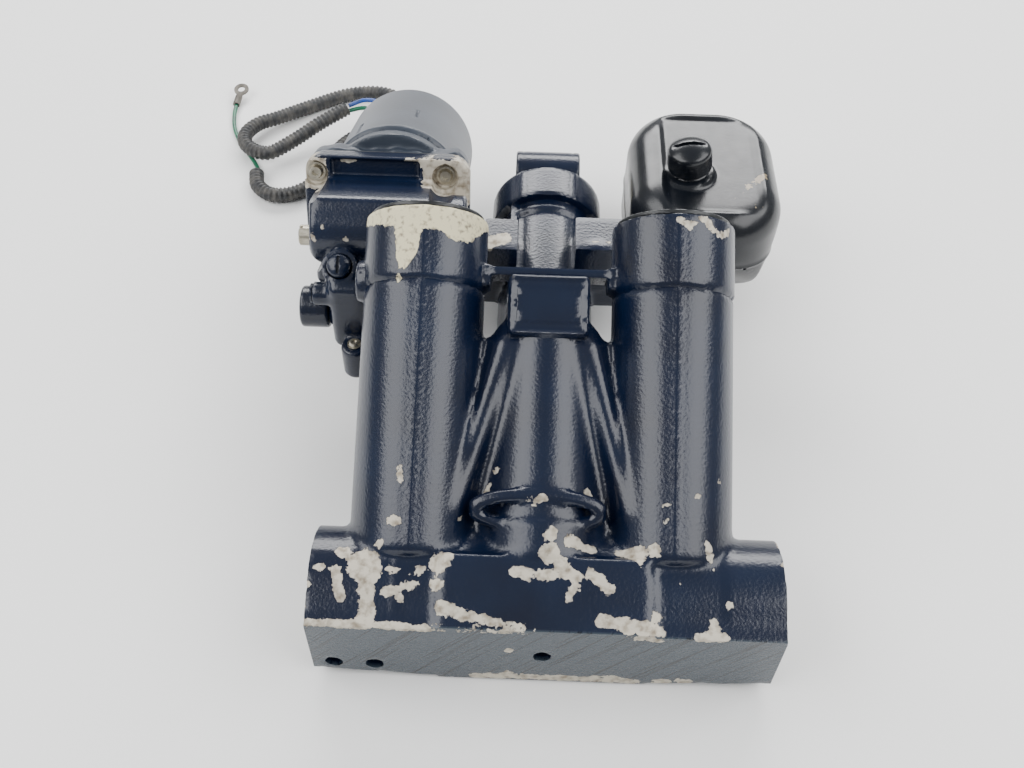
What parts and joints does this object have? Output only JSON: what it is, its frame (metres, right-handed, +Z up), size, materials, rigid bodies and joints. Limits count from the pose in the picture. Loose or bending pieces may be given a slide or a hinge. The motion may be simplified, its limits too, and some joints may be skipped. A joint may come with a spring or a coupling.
{
  "type": "outboard power trim and tilt unit",
  "caption": "Hydraulic trim and tilt unit: cast body with trim rams either side of a tilt ram, gear pump with electric motor, oil reservoir and wiring.",
  "frame": {"origin": "middle of the resting unit's footprint box, on the surface it lies on", "axes": "+Z up from the surface, +Y from the base tube along the tilt ram, +X to the reservoir side"},
  "size_m": [0.3291, 0.4121, 0.1318],
  "materials": {
    "navy_paint": "gloss enamel over cast aluminium, chipped",
    "navy_tank": "gloss moulded polymer, painted",
    "black_gland": "black hard-anodised",
    "black_rubber": "moulded seal",
    "white_nylon": "moulded bush",
    "chromed_steel": "ground and hard-chromed",
    "plain_steel": "turned and ground",
    "zinc_plated_steel": "zinc plated",
    "bare_aluminium": "machined",
    "ferrite_magnet": "sintered ferrite",
    "phenolic_board": "phenolic laminate",
    "carbon_brush": "pressed carbon",
    "copper_winding": "copper",
    "black_loom": "split corrugated polymer sleeve",
    "blue_insulation": "wire insulation",
    "green_insulation": "wire insulation",
    "tinned_copper": "tinned, tarnished"
  },
  "bodies": {
    "unit": {"main_casting": "navy_paint", "base_bush_left": "white_nylon", "base_bush_right": "white_nylon", "trim_gland_left": "black_gland", "trim_gland_right": "black_gland", "tilt_gland": "black_gland", "trim_wiper_left": "black_rubber", "trim_wiper_right": "black_rubber", "tilt_wiper": "black_rubber", "pump_manifold": "navy_paint", "pump_body": "bare_aluminium", "pump_cover": "bare_aluminium", "spool_plug": "navy_paint", "relief_plug": "navy_paint", "check_valve_cap": "navy_paint", "lobe_screw": "zinc_plated_steel", "valve_circlip": "zinc_plated_steel", "motor_gasket": "black_rubber", "motor_end_bell": "navy_paint", "motor_can": "navy_paint", "magnet_left": "ferrite_magnet", "magnet_right": "ferrite_magnet", "bearing_front": "plain_steel", "bearing_rear": "plain_steel", "brush_holder": "phenolic_board", "brush_left": "carbon_brush", "brush_right": "carbon_brush", "motor_screw_1": "zinc_plated_steel", "motor_screw_2": "zinc_plated_steel", "motor_screw_3": "zinc_plated_steel", "motor_screw_4": "zinc_plated_steel", "reservoir_tank": "navy_tank", "reservoir_screw": "zinc_plated_steel", "wire_grommet": "black_rubber", "loom": "black_loom", "blue_lead": "blue_insulation", "green_lead": "green_insulation", "ground_lead": "green_insulation", "ring_terminal": "tinned_copper"},
    "left_trim_ram": {"trim_rod_left": "chromed_steel", "trim_piston_left": "plain_steel"},
    "right_trim_ram": {"trim_rod_right": "chromed_steel", "trim_piston_right": "plain_steel"},
    "tilt_ram": {"tilt_rod": "chromed_steel", "tilt_piston": "plain_steel", "piston_nut": "zinc_plated_steel", "eye_bush": "white_nylon"},
    "floating_piston": {"free_piston": "plain_steel"},
    "armature": {"armature_shaft": "plain_steel", "armature_core": "copper_winding", "commutator": "copper_winding", "drive_gear": "plain_steel"},
    "idler": {"driven_gear": "plain_steel"},
    "manual_valve": {"release_valve": "zinc_plated_steel"},
    "filler": {"filler_cap": "navy_tank", "cap_seal": "black_rubber"},
    "shuttle": {"shuttle_spool": "plain_steel"}
  },
  "joints": [
    {"name": "left_trim_slide", "type": "slide", "parent": "unit", "child": "left_trim_ram", "axis": [0, 0.8572, 0.515], "range_m": [0, 0.07]},
    {"name": "right_trim_slide", "type": "slide", "parent": "unit", "child": "right_trim_ram", "axis": [0, 0.8572, 0.515], "range_m": [0, 0.07]},
    {"name": "tilt_slide", "type": "slide", "parent": "unit", "child": "tilt_ram", "axis": [0, 0.9999, 0.0159], "range_m": [0, 0.12]},
    {"name": "floating_piston_slide", "type": "slide", "parent": "unit", "child": "floating_piston", "axis": [0, 0.9999, 0.0159], "range_m": [0, 0.12]},
    {"name": "armature_spin", "type": "hinge", "parent": "unit", "child": "armature", "pos_m": [-0.0795, 0.058, 0.07], "axis": [0, 0.9272, -0.3746], "continuous": true},
    {"name": "idler_spin", "type": "hinge", "parent": "unit", "child": "idler", "pos_m": [-0.0795, 0.05294, 0.05748], "axis": [0, 0.9272, -0.3746], "continuous": true},
    {"name": "manual_valve_turn", "type": "hinge", "parent": "unit", "child": "manual_valve", "pos_m": [-0.11, 0.0275, 0.075], "axis": [-1, 0, 0], "range_deg": [0, 1080]},
    {"name": "filler_cap_lift", "type": "slide", "parent": "unit", "child": "filler", "axis": [-0.1392, 0, 0.9903], "range_m": [0, 0.03]},
    {"name": "shuttle_slide", "type": "slide", "parent": "unit", "child": "shuttle", "axis": [1, 0, 0], "range_m": [-0.0015, 0.0015]}
  ],
  "couplings": [
    {"joint": "right_trim_slide", "follows": "left_trim_slide", "ratio": 1},
    {"joint": "floating_piston_slide", "follows": "tilt_slide", "ratio": 1},
    {"joint": "idler_spin", "follows": "armature_spin", "ratio": -1}
  ]
}
